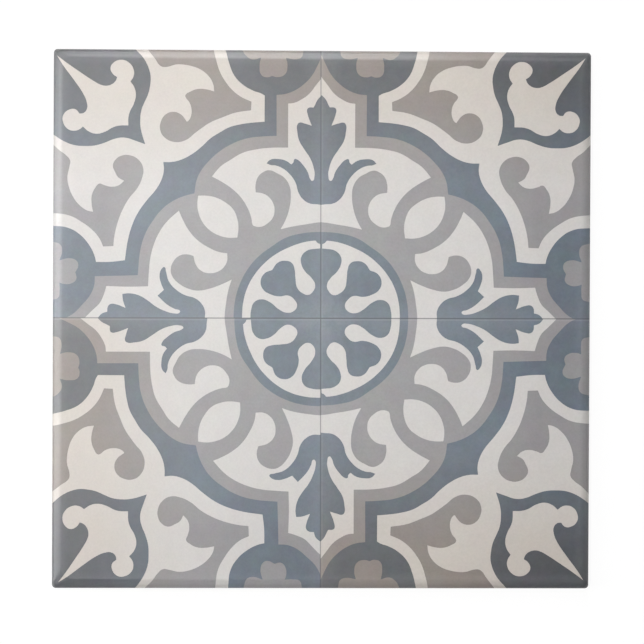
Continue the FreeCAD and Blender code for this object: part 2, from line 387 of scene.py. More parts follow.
stencil(CREAM, "side ground", [
    (68.6, -2, 1), (66.6, 0.3), (64.6, 2.3), (62.7, 4.2), (61.5, 6.8), (60.85, 9.0, 1),
    (55.0, 8.82), (49.1, 8.95, 1), (48.9, 12.5), (48.5, 16.8), (47.5, 20.76), (45.93, 24.3),
    (43.8, 27.3), (40.45, 30.4, 1), (39.48, 28.11), (37.6, 24.8), (35.3, 22.2), (32.0, 20.0),
    (28.9, 18.7), (26.75, 18.4, 1), (26.77, 16.23), (27.87, 14.25), (29.56, 13.12), (31.7, 12.74),
    (33.9, 13.3), (35.5, 14.95), (36.3, 17.62, 1), (38.3, 18.05), (40.44, 17.53), (42.0, 15.93),
    (42.7, 13.58), (42.2, 11.7), (40.2, 9.65), (37.6, 8.3), (35.0, 7.8), (31.6, 8.4), (28.2, 9.65),
    (25.45, 10.95, 1), (26.3, 8.3), (27.0, 4.4), (27.42, 0.3), (27.4, -2, 1),
])
stencil(CREAM, "pointed eye between the scrolls", [
    (35.0, 34.65, 1), (32.6, 34.65), (29.9, 34.1), (27.2, 32.7), (25.17, 30.9), (23.95, 28.2),
    (23.6, 25.4), (23.9, 22.85, 1), (26.5, 22.8), (29.28, 23.5), (31.87, 25.03), (33.9, 27.4),
    (35.0, 30.2), (35.25, 32.6),
])
print(len(OUTLINES), "outlines so far")

# %% Tulips, wheel and the flowers in the lobes
stencil(SLATE, "upper tulip", [
    (-2, 63.3, 1), (0.25, 63.15, 1), (1.3, 62.0), (1.98, 60.67), (2.43, 59.79, 1), (3.93, 59.63),
    (4.27, 59.15), (4.13, 57.9), (2.95, 54.62, 1), (4.91, 55.22), (6.5, 55.45), (7.05, 54.82),
    (7.03, 52.9), (6.5, 50.4), (5.0, 47.9), (3.3, 45.3), (2.3, 42.5), (2.1, 40.4), (2.7, 39.0),
    (3.3, 39.5), (4.0, 41.4), (5.4, 43.5), (7.15, 45.08), (7.8, 45.12), (8.12, 44.2),
    (8.7, 43.62, 1), (10.2, 44.65), (12.4, 45.15), (14.7, 44.9), (15.72, 43.9, 1), (14.5, 43.44),
    (13.2, 43.32), (11.3, 42.6), (9.17, 40.92), (7.45, 38.43), (6.58, 35.55), (4.95, 33.45),
    (3.2, 32.55), (1.4, 32.39), (-2.0, 31.9, 1),
])
stencil(SLATE, "side tulip", [
    (64.2, -2, 1), (62.9, 0.4), (61.95, 1.28), (60.6, 1.7, 1), (60.4, 3.2), (59.65, 3.92),
    (58.33, 3.88), (55.42, 2.83, 1), (56.19, 5.18), (56.32, 6.77, 1), (54.3, 6.95), (51.57, 6.35),
    (49.3, 5.04), (47.0, 3.33), (44.45, 2.06), (41.8, 1.33), (40.2, 1.5), (40.03, 1.97),
    (41.57, 2.62), (43.52, 3.7), (46.39, 6.32, 1), (44.6, 7.95, 1), (45.4, 9.8), (45.85, 12.0),
    (45.3, 13.85), (44.5, 14.4), (44.03, 13.1), (43.2, 10.36), (41.0, 7.9), (38.5, 6.45),
    (35.95, 5.7), (34.0, 4.17), (33.0, 2.15), (33.0, 0.0), (33.0, -2.0, 1),
])
stencil(SLATE, "wheel rim", [
    (-2, 24.45, 1), (1.0, 24.55), (5.65, 24.1), (10.18, 22.85), (14.13, 20.37), (17.85, 17.55),
    (20.88, 13.98), (23.07, 9.85), (24.4, 5.35), (24.85, 0.7), (24.8, -2, 1), (-2, -2, 1),
])
stencil(CREAM, "wheel", [
    (-2, 21.9, 1), (1.0, 22.1), (3.2, 21.97), (6.2, 21.3), (9.15, 20.2), (12.87, 18.28),
    (16.17, 15.65), (18.94, 12.43), (20.98, 8.72), (22.13, 4.63), (22.47, 0.5), (22.4, -2, 1),
    (-2, -2, 1),
])
stencil(SLATE, "notch in the wheel's edge", [
    (-2, 23.0, 1), (2.0, 22.7, 1), (1.65, 22.05), (1.3, 21.6), (0.9, 21.3), (0.5, 21.15),
    (0.4, 20.6), (0.4, 19.5, 1), (-2, 19.5, 1),
])
stencil(SLATE, "rosette", [
    (-2, 19.9, 1), (1.5, 19.8), (4.17, 19.22), (5.75, 17.47), (5.7, 15.3), (4.6, 13.3),
    (2.87, 11.57), (1.8, 9.6), (2.3, 7.82), (3.65, 6.73), (5.35, 7.18), (6.85, 8.65), (7.4, 11.5),
    (7.63, 13.87), (8.4, 15.7), (10.2, 16.35), (12.35, 15.83), (14.0, 13.72, 1), (16.2, 12.7),
    (17.25, 10.5), (16.57, 8.25), (14.57, 6.88), (12.0, 6.25), (9.4, 6.5), (7.87, 5.57),
    (6.9, 3.6), (8.0, 2.0), (9.97, 1.65), (11.93, 2.52), (14.63, 4.62), (16.9, 5.4), (19.0, 4.6),
    (19.9, 2.5), (20.1, 0.0), (20.1, -2, 1), (-2, -2, 1),
])
stencil(GREY, "upper flower", [
    (23.0, 78, 1), (22.5, 75.7), (21.4, 74.1), (19.8, 73.25), (17.4, 73.8, 1), (17.8, 71.4),
    (17.2, 68.8), (15.45, 68.25), (14.2, 68.63, 1), (12.8, 68.3), (10.6, 69.1), (9.88, 71.6),
    (10.33, 73.78, 1), (7.6, 73.38), (5.9, 74.0), (5.4, 75.7), (5.2, 78, 1),
])
stencil(GREY, "side flower", [
    (78, 21.8, 1), (75.8, 21.4), (73.88, 20.63), (73.37, 18.9), (74.1, 16.2, 1), (71.32, 16.8),
    (69.3, 16.1), (68.8, 14.8), (69.62, 12.83, 1), (69.35, 10.9), (70.7, 9.7), (72.8, 9.5),
    (74.1, 9.92, 1), (74.03, 7.6), (74.4, 5.7), (75.8, 5.1), (78, 4.9, 1),
])
point_count = sum(len(points) for _, points in OUTLINES.values())
print(len(OUTLINES), "outlines,", point_count, "hand-set points")

# %% [markdown]
# ## From points to smooth curves
# A Bezier point with automatic handles lets the curve flow through it. A corner gets vector
# handles, so the curve arrives and leaves straight. All the outlines go into one curve object,
# a spline each, in stencil order.

# %% One curve object with all the outlines
quarter_outlines = new_object("outlines", bpy.data.curves.new("outlines", "CURVE"))
quarter_outlines.data.dimensions = "2D"
for _, points in OUTLINES.values():
    spline = quarter_outlines.data.splines.new("BEZIER")
    spline.bezier_points.add(len(points) - 1)
    spline.use_cyclic_u = True
    for bezier_point, (u, v, *corner) in zip(spline.bezier_points, points):
        bezier_point.co = (u, v, 0)
        bezier_point.handle_left_type = "VECTOR" if corner else "AUTO"
        bezier_point.handle_right_type = bezier_point.handle_left_type
print(len(quarter_outlines.data.splines), "splines")

# %% [markdown]
# ## Four quarters from one
# The ornament repeats by a rule, so a Geometry Nodes tree repeats it. Four carrier points stand
# where the quarters start. Each says how its quarter is turned and mirrored. The upper two and
# the lower right are mirror images of each other; the lower left is turned a quarter as well.
# Printed quarters never land quite true, so each is a fraction of a millimetre out, as measured.

# %% Where each quarter lies
CROSSING = (-0.244, 0.335)
LINE_X, LINE_X_LEAN = -0.475, -0.00328
LINE_Y, LINE_Y_LEAN = 0.42, 0.00177
QUARTER_SPAN = 76.0
PIVOT = np.array([38.0, 38.0])
# directions of u and of v, shift of u and v, turn and growth over the quarter's span
QUARTERS = {
    "upper left": (((-1, 0), (0, 1)), (0.03, -0.044), -0.017, -0.058),
    "upper right": (((1, 0), (0, 1)), (-0.281, 0.032), 0.102, 0.115),
    "lower right": (((1, 0), (0, -1)), (-0.238, 0.039), -0.027, 0.119),
    "lower left": (((0, -1), (-1, 0)), (-0.091, 0.123), 0.075, -0.092),
}


def quarter_map(directions, shift, turn, growth):
    """The 2x2 matrix and the start that take (u, v) to the tile's x and y, in millimetres."""
    angle, grow = turn / QUARTER_SPAN, 1 + growth / QUARTER_SPAN
    cosine, sine = math.cos(angle), math.sin(angle)
    small = grow * np.array([[cosine, -sine], [sine, cosine]])
    start = PIVOT + shift - small @ PIVOT
    across = np.array(directions, dtype=float).T
    return across @ small, across @ start + CROSSING


quarter_maps = [quarter_map(*entry) for entry in QUARTERS.values()]

# %% The four carrier points, with a turn and a mirror each
turns, mirrors = [], []
for matrix, _ in quarter_maps:
    area = np.linalg.det(matrix)
    grow = math.sqrt(abs(area))
    turns += [0, 0, math.atan2(-matrix[0, 1], matrix[1, 1])]
    mirrors += [math.copysign(grow, area), grow, 1]
carrier = new_object("quarter carrier", bpy.data.meshes.new("quarter carrier"))
carrier.data.from_pydata([(*start, 0) for _, start in quarter_maps], [], [])
for name, values in (("turn", turns), ("mirror", mirrors)):
    attribute = carrier.data.attributes.new(name, "FLOAT_VECTOR", "POINT")
    attribute.data.foreach_set("vector", values)
numbers = carrier.data.attributes.new("quarter", "INT", "POINT")
numbers.data.foreach_set("value", list(range(len(QUARTERS))))
print("quarters start at", [start.round(3).tolist() for _, start in quarter_maps], "mm")


# %% Helpers for Geometry Nodes
def new_tree(name, sockets):
    """A tree with these named inputs, and the outputs of its input node."""
    tree = bpy.data.node_groups.new(name, "GeometryNodeTree")
    for in_out in ("INPUT", "OUTPUT"):
        tree.interface.new_socket("Geometry", in_out=in_out, socket_type="NodeSocketGeometry")
    for socket_name, kind in sockets.items():
        tree.interface.new_socket(socket_name, in_out="INPUT", socket_type="NodeSocket" + kind)
    return tree, add_node(tree, "NodeGroupInput").outputs


def end_tree(tree, instances, material):
    """Every tree ends in real geometry with its material, because instances aren't exported."""
    real = add_node(tree, "GeometryNodeRealizeInstances", {"Geometry": instances})
    painted = add_node(tree, "GeometryNodeSetMaterial", {"Geometry": real, "Material": material})
    add_node(tree, "NodeGroupOutput", {"Geometry": painted})


def plain_mesh(carrier, tree, values):
    """Runs the tree on the carrier, keeps the result as a mesh and clears the carrier away."""
    modifier = carrier.modifiers.new(tree.name, "NODES")
    modifier.node_group = tree
    for item in tree.interface.items_tree:
        if item.in_out == "INPUT" and item.name in values:
            modifier[item.identifier] = values[item.name]
    evaluated = carrier.evaluated_get(bpy.context.evaluated_depsgraph_get())
    mesh = bpy.data.meshes.new_from_object(evaluated)
    carrier.modifiers.remove(modifier)
    bpy.data.objects.remove(carrier)
    return mesh


# %% The tree that lays the quarters
tree, given = new_tree(
    "lay the quarters", {"Outlines": "Object", "Steps": "Int", "Material": "Material"}
)
source = add_node(tree, "GeometryNodeObjectInfo", {"Object": given["Outlines"]})
fine = add_node(
    tree,
    "GeometryNodeSetSplineResolution",
    {"Geometry": source.outputs["Geometry"], "Resolution": given["Steps"]},
)
marked = add_node(
    tree,
    "GeometryNodeStoreNamedAttribute",
    {"Geometry": fine, "Name": "outline", "Value": add_node(tree, "GeometryNodeCurveOfPoint")},
    data_type="INT",
    domain="POINT",
)
lines = add_node(tree, "GeometryNodeCurveToMesh", {"Curve": marked})
turn, mirror = (
    add_node(tree, "GeometryNodeInputNamedAttribute", {"Name": name}, data_type="FLOAT_VECTOR")
    for name in ("turn", "mirror")
)
turned = add_node(tree, "FunctionNodeEulerToRotation", {"Euler": turn})
laid = add_node(
    tree,
    "GeometryNodeInstanceOnPoints",
    {"Points": given["Geometry"], "Instance": lines, "Rotation": turned, "Scale": mirror},
)
end_tree(tree, laid, given["Material"])
print(tree.name, "with", len(tree.nodes), "nodes")

# %% The quarters laid, and their loops read back as plain points
STEPS_PER_STRETCH = 8


def vertex_places(mesh):
    return np.array([tuple(vertex.co) for vertex in mesh.vertices])


def vertex_numbers(mesh, name):
    return np.array([item.value for item in mesh.attributes[name].data])


outline_mesh = plain_mesh(
    carrier,
    tree,
    {"Outlines": quarter_outlines, "Steps": STEPS_PER_STRETCH, "Material": MATERIALS[SLATE]},
)
bpy.data.objects.remove(quarter_outlines)
outline_places = vertex_places(outline_mesh)[:, :2]
outline_numbers = vertex_numbers(outline_mesh, "outline")
quarter_numbers = vertex_numbers(outline_mesh, "quarter")
print_loops = [
    outline_places[(quarter_numbers == quarter) & (outline_numbers == number)]
    for quarter in range(len(QUARTERS))
    for number in range(len(OUTLINES))
]
print(len(print_loops), "loops with", len(outline_places), "points")

# %% [markdown]
# ## The cushioned edge
# A pressed tile's face is flat, and rolls down to its sides in two arcs: a wide shoulder and a
# small nose. Every point of the face gets its height from how far in from the side it lies. The
# rings of equal height are rounded squares whose corners grow a little rounder inwards, as the
# glaze fills them. Solving for the ring through a point by halving steps is short and exact.

# %% How far in from the side a point lies
INNER_CORNER = 3.4
SHOULDER_RADIUS = (
    (SHOULDER_WIDTH - NOSE_RADIUS) ** 2 + SHOULDER_DROP**2 - NOSE_RADIUS**2
) / (2 * (SHOULDER_DROP - NOSE_RADIUS))
NOSE_TURN = math.atan2(SHOULDER_RADIUS - SHOULDER_DROP, SHOULDER_WIDTH - NOSE_RADIUS)
NOSE_REACH = NOSE_RADIUS * (1 - math.cos(NOSE_TURN))
HALVINGS = 40


def ring_corner(inset):
    """The corner radius of the ring that lies this far in from the sides."""
    return CORNER_RADIUS + (INNER_CORNER - CORNER_RADIUS) * inset / SHOULDER_WIDTH


def outside_ring(places, inset):
    """Signed distance of each point from the ring at that inset; positive is outside."""
    radius = ring_corner(inset)
    beyond = np.abs(places) - (HALF - inset - radius)[:, None]
    corner = np.linalg.norm(np.maximum(beyond, 0), axis=1)
    return corner + np.minimum(beyond.max(axis=1), 0) - radius


def inset_of(places):
    """How far in from the sides each point's ring lies, from 0 up to the shoulder's width."""
    near = np.zeros(len(places))
    far = np.full(len(places), SHOULDER_WIDTH)
    for halving in range(HALVINGS):
        middle = (near + far) / 2
        inside = outside_ring(places, middle) < 0
        near = np.where(inside, middle, near)
        far = np.where(inside, far, middle)
    return (near + far) / 2


# %% The slope and the height there
def edge_turn(inset):
    """The slope's angle: 0 where the side stands upright, a right angle on the flat face."""
    nose = np.arccos(np.clip(1 - inset / NOSE_RADIUS, -1, 1))
    shoulder = np.arccos(np.clip((SHOULDER_WIDTH - inset) / SHOULDER_RADIUS, -1, 1))
    return np.where(inset < NOSE_REACH, nose, shoulder)


def edge_height(inset):
    turn = edge_turn(inset)
    nose = THICKNESS - SHOULDER_DROP + NOSE_RADIUS * np.sin(turn)
    shoulder = THICKNESS - SHOULDER_RADIUS + SHOULDER_RADIUS * np.sin(turn)
    return np.where(inset < NOSE_REACH, nose, shoulder)


print(f"shoulder radius {SHOULDER_RADIUS:.3f} mm, met at {math.degrees(NOSE_TURN):.1f} degrees")

# %% The rings that the face mesh needs
NOSE_STEPS = 3
SHOULDER_STEPS = 8
CORNER_STEPS = 8
nose_turns = np.linspace(0, NOSE_TURN, NOSE_STEPS + 1)
shoulder_turns = np.linspace(NOSE_TURN, math.pi / 2, SHOULDER_STEPS + 1)[1:]
ring_insets = np.concatenate([
    NOSE_RADIUS * (1 - np.cos(nose_turns)),
    SHOULDER_WIDTH - SHOULDER_RADIUS * np.cos(shoulder_turns),
])


def rounded_square(half, radius):
    """A rounded square about the middle, anticlockwise."""
    points = []
    for corner, (side_x, side_y) in enumerate([(1, 1), (-1, 1), (-1, -1), (1, -1)]):
        for step in range(CORNER_STEPS + 1):
            turn = math.pi / 2 * (corner + step / CORNER_STEPS)
            points.append((
                side_x * (half - radius) + radius * math.cos(turn),
                side_y * (half - radius) + radius * math.sin(turn),
            ))
    return np.array(points)


rings = [rounded_square(HALF - inset, ring_corner(inset)) for inset in ring_insets]
print(len(rings), "rings, from", ring_insets[0], "to", ring_insets[-1].round(3), "mm in")

# %% [markdown]
# ## Cutting the face along every outline
# The face has to change ink exactly on the outlines. A constrained Delaunay triangulation does
# that: it takes all the loops, cuts them where they cross, and fills the tile with triangles
# that never straddle a line. For each triangle it also says which loops lie round it. The last
# stencil laid wins, and only the quarter that the triangle lies in counts.

# %% Filling loops with triangles
NEARNESS = 1e-4
FILL_INSIDE = 1


def signed_area(points):
    x, y = points[:, 0], points[:, 1]
    return 0.5 * float(np.sum(x * np.roll(y, -1) - np.roll(x, -1) * y))


def fill(loops):
    """Fills the loops: the places, the triangles, and which loops lie round each triangle."""
    loops = [points if signed_area(points) > 0 else points[::-1] for points in loops]
    ends = np.cumsum([0] + [len(points) for points in loops])
    faces = [list(range(start, end)) for start, end in zip(ends[:-1], ends[1:])]
    places = [Vector(place) for place in np.concatenate(loops)]
    result = delaunay_2d_cdt(places, [], faces, FILL_INSIDE, NEARNESS, True)
    return np.array([tuple(place) for place in result[0]]), result[2], result[5]


# %% The triangulation of the face
OVERRUN = 4.0


def quarter_cut(directions):
    """The part of the tile that one quarter prints on, up to the dark lines."""
    (ux, uy), (vx, vy) = directions
    side_x, side_y = (ux + vx) * (HALF + OVERRUN), (uy + vy) * (HALF + OVERRUN)
    return np.array([
        (LINE_X, LINE_Y),
        (side_x, LINE_Y + LINE_Y_LEAN * side_x),
        (side_x, side_y),
        (LINE_X + LINE_X_LEAN * side_y, side_y),
    ])


quarter_cuts = [quarter_cut(directions) for directions, *_ in QUARTERS.values()]
cut_places, cut_triangles, cut_loops = fill([rings[0], *quarter_cuts, *print_loops, *rings[1:]])
print("cut into", len(cut_triangles), "triangles")

# %% The ink of each triangle
FACE_LOOP = 0
FIRST_CUT = FACE_LOOP + 1
FIRST_PRINT = FIRST_CUT + len(QUARTERS)
OUTLINE_INKS = [ink for ink, _ in OUTLINES.values()]
face_triangles, face_inks, face_quarters = [], [], []
for triangle, around in zip(cut_triangles, cut_loops):
    if FACE_LOOP not in around:
        continue
    cuts = [loop - FIRST_CUT for loop in around if FIRST_CUT <= loop < FIRST_PRINT]
    quarter = cuts[0] if cuts else 0
    first = FIRST_PRINT + quarter * len(OUTLINES)
    laid = [loop - first for loop in around if first <= loop < first + len(OUTLINES)]
    face_triangles.append(triangle)
    face_inks.append(OUTLINE_INKS[max(laid)] if laid else CREAM)
    face_quarters.append(quarter)
face_triangles = np.array(face_triangles)
corners = cut_places[face_triangles]
areas = 0.5 * np.cross(corners[:, 1] - corners[:, 0], corners[:, 2] - corners[:, 0])
for ink, name in enumerate(INKS):
    share = areas[np.array(face_inks) == ink].sum() / areas.sum()
    print(f"{name} covers {share:.1%} of the face")

# %% Heights and slopes of the face
SLOPE_PROBE = 0.002
TINY = 1e-9
used, face_triangles = np.unique(face_triangles, return_inverse=True)
face_triangles = face_triangles.reshape(-1, 3)
turned_over = areas < 0
face_triangles[turned_over] = face_triangles[turned_over][:, ::-1]
face_places = cut_places[used]
face_insets = inset_of(face_places)
inward = np.stack([
    inset_of(face_places + nudge) - inset_of(face_places - nudge)
    for nudge in np.eye(2) * SLOPE_PROBE
], axis=1)
inward /= np.maximum(np.linalg.norm(inward, axis=1, keepdims=True), TINY)
turns_here = edge_turn(face_insets)
face_normals = np.column_stack([-inward * np.cos(turns_here)[:, None], np.sin(turns_here)])
face_points = np.column_stack([face_places, edge_height(face_insets)])
print(len(face_points), "face vertices, the lowest", face_points[:, 2].min().round(3), "mm up")

# %% [markdown]
# ## The sides
# The walls start from the face's own border, vertex by vertex, so face and wall share them and
# the tile is one closed skin. They go straight down, and a small bevel leads in to the back.


# %% The border of the face, in order
def borders(polygons):
    """Chains of the edges that only one polygon has, each a list of (vertex, polygon)."""
    owner = {}
    for number, polygon in enumerate(polygons):
        for a, b in zip(polygon, np.roll(polygon, -1)):
            owner[int(a), int(b)] = number
    after = {a: (b, number) for (a, b), number in owner.items() if (b, a) not in owner}
    chains = []
    while after:
        here = next(iter(after))
        chains.append([])
        while here in after:
            following, number = after.pop(here)
            chains[-1].append((here, number))
            here = following
    return chains


(face_border,) = borders(face_triangles)
border, border_faces = (list(column) for column in zip(*face_border))
print("border of", len(border), "vertices")

# %% Walls and bevel, ring by ring
WALL_HEIGHTS = (4.5, 3.9, 3.0, 2.0, 1.2, BACK_BEVEL)
border_out = -inward[border]
vertices = [face_points]
normals = [face_normals]
polygons = face_triangles.tolist()
inks = list(face_inks)
quarters = list(face_quarters)
ring_before = border
count = len(face_points)
for height, inset in [(height, 0.0) for height in WALL_HEIGHTS] + [(0.0, BACK_BEVEL)]:
    ring_places = face_places[border] - border_out * inset
    vertices.append(np.column_stack([ring_places, np.full(len(border), height)]))
    normals.append(np.column_stack([border_out, np.zeros(len(border))]))
    ring_now = list(range(count, count + len(border)))
    count += len(border)
    for step, face in enumerate(border_faces):
        following = (step + 1) % len(border)
        polygons.append([
            ring_before[following], ring_before[step], ring_now[step], ring_now[following]
        ])
        inks.append(face_inks[face])
        quarters.append(face_quarters[face])
    ring_before = ring_now
GLAZED_FACES = len(polygons)
SMOOTH_FACES = GLAZED_FACES - len(border)
print(count, "vertices with the walls")

# %% [markdown]
# ## The keyed back
# The die leaves a grid of shallow square hollows in the back, which hold the adhesive. A hollow
# is the same everywhere, so Geometry Nodes make one, with a slightly leaning wall, and stand a
# copy on each point of a grid. The flat web between them is one more triangulation: the outer
# border, less the rims of the hollows.

# %% The tree that makes the hollows: the floor of one
HOLLOW_CORNER_STEPS = 4
SIZE_NAMES = ("Pitch", "Rim side", "Floor share", "Corner radius", "Depth")
tree, given = new_tree(
    "key hollows",
    {"Cells": "Int", **{name: "Float" for name in SIZE_NAMES}, "Material": "Material"},
)
floor_side = reckon(tree, "MULTIPLY", given["Rim side"], given["Floor share"])
square = add_node(
    tree,
    "GeometryNodeCurvePrimitiveQuadrilateral",
    {"Width": floor_side, "Height": floor_side},
)
rounded = add_node(
    tree,
    "GeometryNodeFilletCurve",
    {"Curve": square, "Radius": given["Corner radius"], "Count": HOLLOW_CORNER_STEPS},
    mode="POLY",
)
bottom = add_node(tree, "GeometryNodeFillCurve", {"Curve": rounded}, mode="NGONS")

# %% The tree goes on: its wall, drawn down and made wider at the rim
sink = add_node(tree, "ShaderNodeCombineXYZ", {"Z": reckon(tree, "MULTIPLY", given["Depth"], -1)})
wall = add_node(
    tree,
    "GeometryNodeExtrudeMesh",
    {"Mesh": bottom, "Offset": sink, "Offset Scale": 1.0},
    mode="EDGES",
)
widen = reckon(tree, "DIVIDE", 1.0, given["Floor share"])
spread = add_node(tree, "ShaderNodeCombineXYZ", {"X": widen, "Y": widen, "Z": 1.0})
where = add_node(tree, "GeometryNodeInputPosition")
leaning = add_node(
    tree,
    "GeometryNodeSetPosition",
    {
        "Geometry": wall,
        "Selection": wall.outputs["Top"],
        "Position": reckon_vectors(tree, "MULTIPLY", where, spread),
    },
)

# %% The tree ends: a hollow on each point of a grid
steps_across = reckon(tree, "SUBTRACT", given["Cells"], 1.0)
span = reckon(tree, "MULTIPLY", steps_across, given["Pitch"])
cells = given["Cells"]
grid = add_node(
    tree,
    "GeometryNodeMeshGrid",
    {"Size X": span, "Size Y": span, "Vertices X": cells, "Vertices Y": cells},
)
stood = add_node(tree, "GeometryNodeInstanceOnPoints", {"Points": grid, "Instance": leaning})
end_tree(tree, stood, given["Material"])
print(tree.name, "with", len(tree.nodes), "nodes")

# %% The hollows as a plain mesh
KEY_PITCH = (SIDE - 2 * KEY_MARGIN + RIB_WIDTH) / KEY_CELLS
FLOOR_SHARE = 0.965
hollow_mesh = plain_mesh(
    new_object("hollow carrier", bpy.data.meshes.new("hollow carrier")),
    tree,
    {
        "Cells": KEY_CELLS,
        "Pitch": KEY_PITCH,
        "Rim side": KEY_PITCH - RIB_WIDTH,
        "Floor share": FLOOR_SHARE,
        "Corner radius": KEY_CORNER_RADIUS,
        "Depth": KEY_DEPTH,
        "Material": MATERIALS[CLAY],
    },
)
hollow_places = vertex_places(hollow_mesh) + (0, 0, KEY_DEPTH)
hollow_polygons = [list(polygon.vertices) for polygon in hollow_mesh.polygons]
hollow_floor = max(hollow_mesh.polygons, key=lambda polygon: polygon.area)
print(len(hollow_polygons), "faces in", KEY_CELLS**2, "hollows")

# %% The web between the hollows
rims = [[corner for corner, _ in chain] for chain in borders(hollow_polygons)]
web_loops = [vertices[-1][:, :2], *(hollow_places[rim][:, :2] for rim in rims)]
web_places, web_cut, web_around = fill(web_loops)
web_triangles = [triangle for triangle, around in zip(web_cut, web_around) if around == [0]]
print(len(rims), "rims,", len(web_triangles), "triangles in the web")

# %% [markdown]
# ## One closed skin
# Face, walls, web and hollows are put together, and vertices that share a place become one. A
# closed skin is checked the plain way: every edge must have exactly two faces, once each way.

# %% Web and hollows face down, out of the clay
for triangle in web_triangles:
    upwards = signed_area(web_places[triangle]) > 0
    polygons.append([corner + count for corner in (triangle[::-1] if upwards else triangle)])
count += len(web_places)
if hollow_floor.normal.z > 0:
    hollow_polygons = [polygon[::-1] for polygon in hollow_polygons]
polygons += [[corner + count for corner in polygon] for polygon in hollow_polygons]
vertices += [np.column_stack([web_places, np.zeros(len(web_places))]), hollow_places]
print(len(polygons), "faces in all")

# %% Joining the parts
WELD = 1e-3
all_points = np.concatenate(vertices)
keys = np.round(all_points / WELD).astype(np.int64)
_, first_seen, welded = np.unique(keys, axis=0, return_index=True, return_inverse=True)
welded = welded.reshape(-1)
skin_points = all_points[first_seen]
skin_polygons = []
kept = []
for number, polygon in enumerate(polygons):
    merged = [int(welded[corner]) for corner in polygon]
    merged = [corner for place, corner in enumerate(merged) if corner != merged[place - 1]]
    if len(merged) > 2:
        skin_polygons.append(merged)
        kept.append(number)
edges = [
    edge for polygon in skin_polygons for edge in zip(polygon, polygon[1:] + polygon[:1])
]
directed = set(edges)
open_edges = sum((b, a) not in directed for a, b in directed)
print(len(skin_points), "points,", len(skin_polygons), "faces")
print("open edges", open_edges, "doubled", len(edges) - len(directed))

# %% The tile's mesh
tile_mesh = bpy.data.meshes.new("printed_tile")
tile_mesh.from_pydata((skin_points * MM).tolist(), [], skin_polygons)
tile = new_object("printed_tile", tile_mesh)

# for each corner of each face: its vertex, its face, and that face's number before the weld
loop_vertex = np.array([loop.vertex_index for loop in tile_mesh.loops])
loop_face = np.repeat(np.arange(len(skin_polygons)), [len(polygon) for polygon in skin_polygons])
loop_source = np.array(kept)[loop_face]
loop_points = skin_points[loop_vertex]

# %% [markdown]
# ## Shading that follows the true slope
# Long thin triangles shade badly when Blender averages their normals. The slope of the glaze is
# known exactly at every vertex, so it is written in as a custom normal. The bevel and the back
# keep plain flat faces.

# %% Custom normals
known = np.zeros((len(all_points), 3))
stacked = np.concatenate(normals)
known[: len(stacked)] = stacked
flat_normals = np.array([tuple(polygon.normal) for polygon in tile_mesh.polygons])
smooth = loop_source < SMOOTH_FACES
true_normals = known[first_seen][loop_vertex]
loop_normals = np.where(smooth[:, None], true_normals, flat_normals[loop_face])
tile_mesh.polygons.foreach_set("use_smooth", [True] * len(skin_polygons))
tile_mesh.normals_split_custom_set(loop_normals.tolist())
print("smooth corners", int(smooth.sum()), "of", len(smooth))

# %% [markdown]
# ## Where the print was laid
# The ink's clouds and its drift from a cool to a warm tone belong to the print, so they must turn
# and mirror with each quarter. Every corner of every glazed face gets its place in its own
# quarter's drawing, in millimetres, as an attribute that the material reads.

# %% The print's own coordinates
printed = loop_source < GLAZED_FACES
loop_quarter = np.array(quarters + [0] * (len(polygons) - len(quarters)))[loop_source]
print_places = np.zeros((len(loop_points), 3))
for quarter, (matrix, start) in enumerate(quarter_maps):
    chosen = printed & (loop_quarter == quarter)
    print_places[chosen, :2] = (loop_points[chosen, :2] - start) @ np.linalg.inv(matrix).T
    print_places[chosen, 2] = quarter
place_attribute = tile_mesh.attributes.new("print_place", "FLOAT_VECTOR", "CORNER")
place_attribute.data.foreach_set("vector", print_places.ravel())
print("print reaches", print_places.max(axis=0)[:2].round(1), "mm")

# %% [markdown]
# ## The texture map
# A renderer without these nodes needs the print as a picture. The face gets nearly the whole
# map, the four sides lie above it as narrow strips at the same scale, and the plain back has a
# small square at the right.

# %% The map for baking
FACE_SHARE = 0.84
GAP = 0.004
scale = FACE_SHARE / SIDE
flat_map = (loop_points[:, :2] + HALF) * scale + GAP
strip_height = (THICKNESS - SHOULDER_DROP + BACK_BEVEL) * scale
on_wall = (loop_source >= len(face_triangles)) & printed
middles = np.array([tuple(polygon.center) for polygon in tile_mesh.polygons])[loop_face]
across = np.abs(middles[:, 0]) > np.abs(middles[:, 1])
along = np.where(across, loop_points[:, 1], loop_points[:, 0])
strip = np.where(across, np.where(middles[:, 0] > 0, 0, 1), np.where(middles[:, 1] > 0, 2, 3))
base = FACE_SHARE + 2 * GAP + strip * (strip_height + GAP)
wall_map = np.column_stack([(along + HALF) * scale + GAP, base + loop_points[:, 2] * scale])
back_share = 1 - FACE_SHARE - 3 * GAP
back_map = (loop_points[:, :2] + HALF) / SIDE * back_share + GAP
back_map[:, 0] = 1 - back_map[:, 0]
texture_map = np.where(printed[:, None], np.where(on_wall[:, None], wall_map, flat_map), back_map)
uv_layer = tile_mesh.uv_layers.new(name="OFBake")
uv_layer.data.foreach_set("uv", texture_map.ravel())
print("map spans", texture_map.min(axis=0).round(3), "to", texture_map.max(axis=0).round(3))

# %% [markdown]
# ## Ink under glaze
# The three inks behave alike, so one node group makes them all and only the ink's own colour and
# its share of the mottling differ. The group returns what varies over the surface: colour,
# roughness and the bump. The values that are the same everywhere are set on each shader itself.

# %% The group, and where on the tile and on the print a point lies
glaze = bpy.data.node_groups.new("print and glaze", "ShaderNodeTree")
for in_out, socket_name, kind in (
    ("INPUT", "Ink", "Color"),
    ("INPUT", "Mottling", "Float"),
    ("OUTPUT", "Color", "Color"),
    ("OUTPUT", "Roughness", "Float"),
    ("OUTPUT", "Normal", "Vector"),
):
    glaze.interface.new_socket(socket_name, in_out=in_out, socket_type="NodeSocket" + kind)
given = add_node(glaze, "NodeGroupInput").outputs


